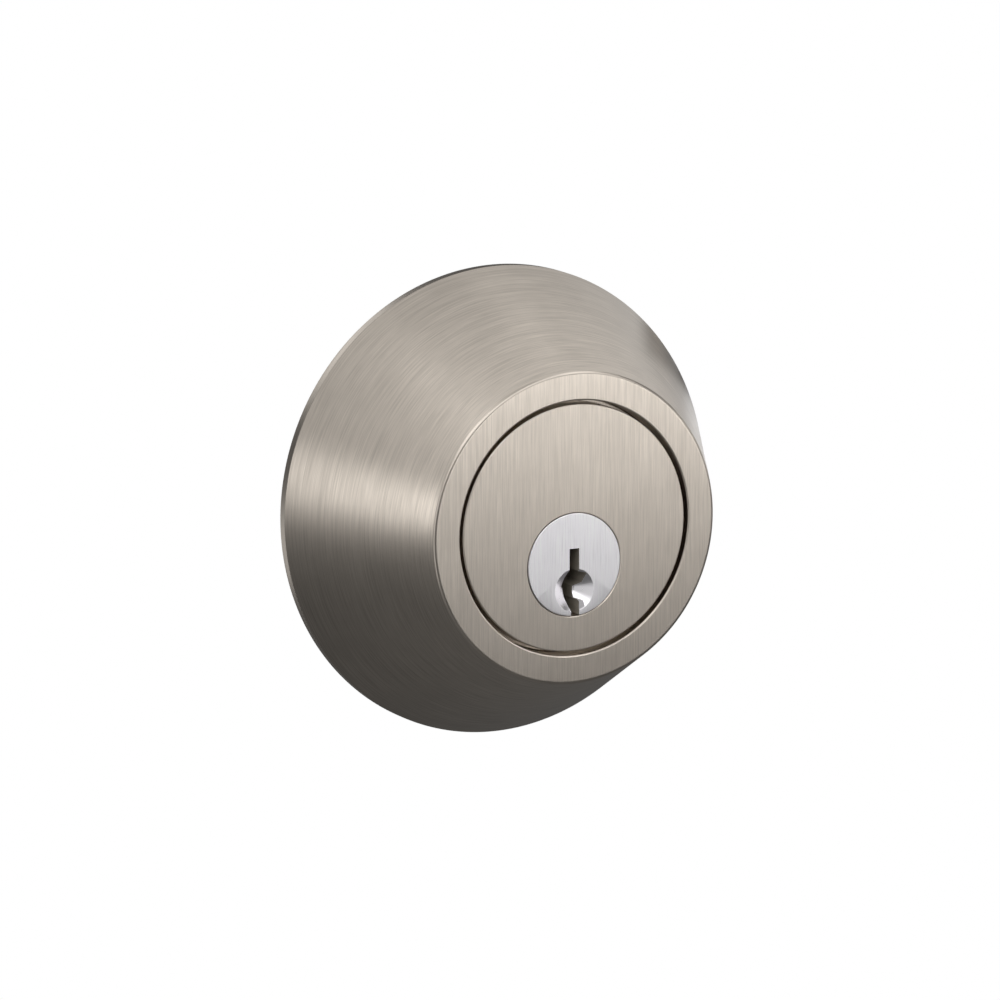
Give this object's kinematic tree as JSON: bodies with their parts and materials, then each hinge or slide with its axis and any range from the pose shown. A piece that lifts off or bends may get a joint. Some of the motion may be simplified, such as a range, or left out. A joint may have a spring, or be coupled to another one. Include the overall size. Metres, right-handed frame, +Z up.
{
  "type": "deadbolt door lock",
  "caption": "Single-cylinder deadbolt: tapered outside collar round a keyed plug, thrown bolt in the door's edge, and an inside rose with a turn.",
  "frame": {"origin": "centre of the door's 54 mm bore, on the door's outside face", "axes": "+Y into the room, along the bore; +X towards the door's edge, along the bolt; +Z up"},
  "size_m": [0.0928, 0.0986, 0.065],
  "materials": {
    "satin_nickel": "brushed satin nickel plate",
    "plug_nickel": "nickel silver, bright",
    "brass": "machined",
    "zinc": "die-cast",
    "bolt_steel": "satin nickel-plated steel",
    "plated_steel": "bright zinc-plated",
    "spring_steel": "drawn wire",
    "hardened_steel": "black oxide",
    "nylon": "moulded"
  },
  "bodies": {
    "lock_body": {"cylinder_body": "satin_nickel", "chamber_cover": "brass", "drill_pins": "hardened_steel", "pin_spring_1": "spring_steel", "pin_spring_2": "spring_steel", "pin_spring_3": "spring_steel", "pin_spring_4": "spring_steel", "pin_spring_5": "spring_steel", "faceplate": "satin_nickel", "backing_plate": "plated_steel", "faceplate_screws": "satin_nickel", "barrel": "plated_steel", "case_plate_outside": "plated_steel", "case_plate_inside": "plated_steel", "case_rivets": "plated_steel", "mounting_plate": "plated_steel", "through_screws": "plated_steel", "interior_rose": "satin_nickel", "rose_screws": "satin_nickel"},
    "collar": {"trim_ring": "satin_nickel"},
    "turn": {"thumbturn": "satin_nickel", "turn_spindle": "zinc", "turn_washer": "nylon", "retaining_ring": "spring_steel", "tailpiece": "plated_steel", "crank": "zinc", "crank_pin": "bolt_steel"},
    "key_plug": {"plug": "plug_nickel", "retainer_cap": "brass", "cap_pin": "brass", "cap_pin_spring": "spring_steel"},
    "dead_bolt": {"bolt": "bolt_steel", "bolt_insert": "hardened_steel", "bolt_link": "bolt_steel", "link_rivets": "bolt_steel"},
    "driver_1": {"driver_pin_1": "plug_nickel"},
    "key_1": {"key_pin_1": "brass"},
    "driver_2": {"driver_pin_2": "plug_nickel"},
    "key_2": {"key_pin_2": "brass"},
    "driver_3": {"driver_pin_3": "plug_nickel"},
    "key_3": {"key_pin_3": "brass"},
    "driver_4": {"driver_pin_4": "plug_nickel"},
    "key_4": {"key_pin_4": "brass"},
    "driver_5": {"driver_pin_5": "plug_nickel"},
    "key_5": {"key_pin_5": "brass"}
  },
  "joints": [
    {"name": "collar_spin", "type": "hinge", "parent": "lock_body", "child": "collar", "pos_m": [0, 0, 0], "axis": [0, 1, 0], "continuous": true},
    {"name": "turn_rotate", "type": "hinge", "parent": "lock_body", "child": "turn", "pos_m": [0, 0.02223, -0.005], "axis": [0, 1, 0], "range_deg": [0, 90]},
    {"name": "plug_rotate", "type": "hinge", "parent": "lock_body", "child": "key_plug", "pos_m": [0, -0.012, -0.005], "axis": [0, 1, 0], "range_deg": [0, 90]},
    {"name": "bolt_slide", "type": "slide", "parent": "lock_body", "child": "dead_bolt", "axis": [1, 0, 0], "range_m": [0, 0.0254]},
    {"name": "driver_1_lift", "type": "slide", "parent": "lock_body", "child": "driver_1", "axis": [0, 0, 1], "range_m": [0, 0.0014], "stiffness_N_per_m": 100, "springref_m": -0.002, "deforming": ["pin_spring_1"]},
    {"name": "key_1_drop", "type": "slide", "parent": "key_plug", "child": "key_1", "axis": [0, 0, 1], "range_m": [-0.0043, 0]},
    {"name": "driver_2_lift", "type": "slide", "parent": "lock_body", "child": "driver_2", "axis": [0, 0, 1], "range_m": [0, 0.0014], "stiffness_N_per_m": 100, "springref_m": -0.002, "deforming": ["pin_spring_2"]},
    {"name": "key_2_drop", "type": "slide", "parent": "key_plug", "child": "key_2", "axis": [0, 0, 1], "range_m": [-0.0025, 0]},
    {"name": "driver_3_lift", "type": "slide", "parent": "lock_body", "child": "driver_3", "axis": [0, 0, 1], "range_m": [0, 0.0014], "stiffness_N_per_m": 100, "springref_m": -0.002, "deforming": ["pin_spring_3"]},
    {"name": "key_3_drop", "type": "slide", "parent": "key_plug", "child": "key_3", "axis": [0, 0, 1], "range_m": [-0.0035, 0]},
    {"name": "driver_4_lift", "type": "slide", "parent": "lock_body", "child": "driver_4", "axis": [0, 0, 1], "range_m": [0, 0.0014], "stiffness_N_per_m": 100, "springref_m": -0.002, "deforming": ["pin_spring_4"]},
    {"name": "key_4_drop", "type": "slide", "parent": "key_plug", "child": "key_4", "axis": [0, 0, 1], "range_m": [-0.0016, 0]},
    {"name": "driver_5_lift", "type": "slide", "parent": "lock_body", "child": "driver_5", "axis": [0, 0, 1], "range_m": [0, 0.0014], "stiffness_N_per_m": 100, "springref_m": -0.002, "deforming": ["pin_spring_5"]},
    {"name": "key_5_drop", "type": "slide", "parent": "key_plug", "child": "key_5", "axis": [0, 0, 1], "range_m": [-0.003, 0]}
  ],
  "couplings": [
    {"joint": "turn_rotate", "follows": "bolt_slide", "rad_per_m": 61.84},
    {"joint": "plug_rotate", "follows": "bolt_slide", "rad_per_m": 61.84}
  ]
}
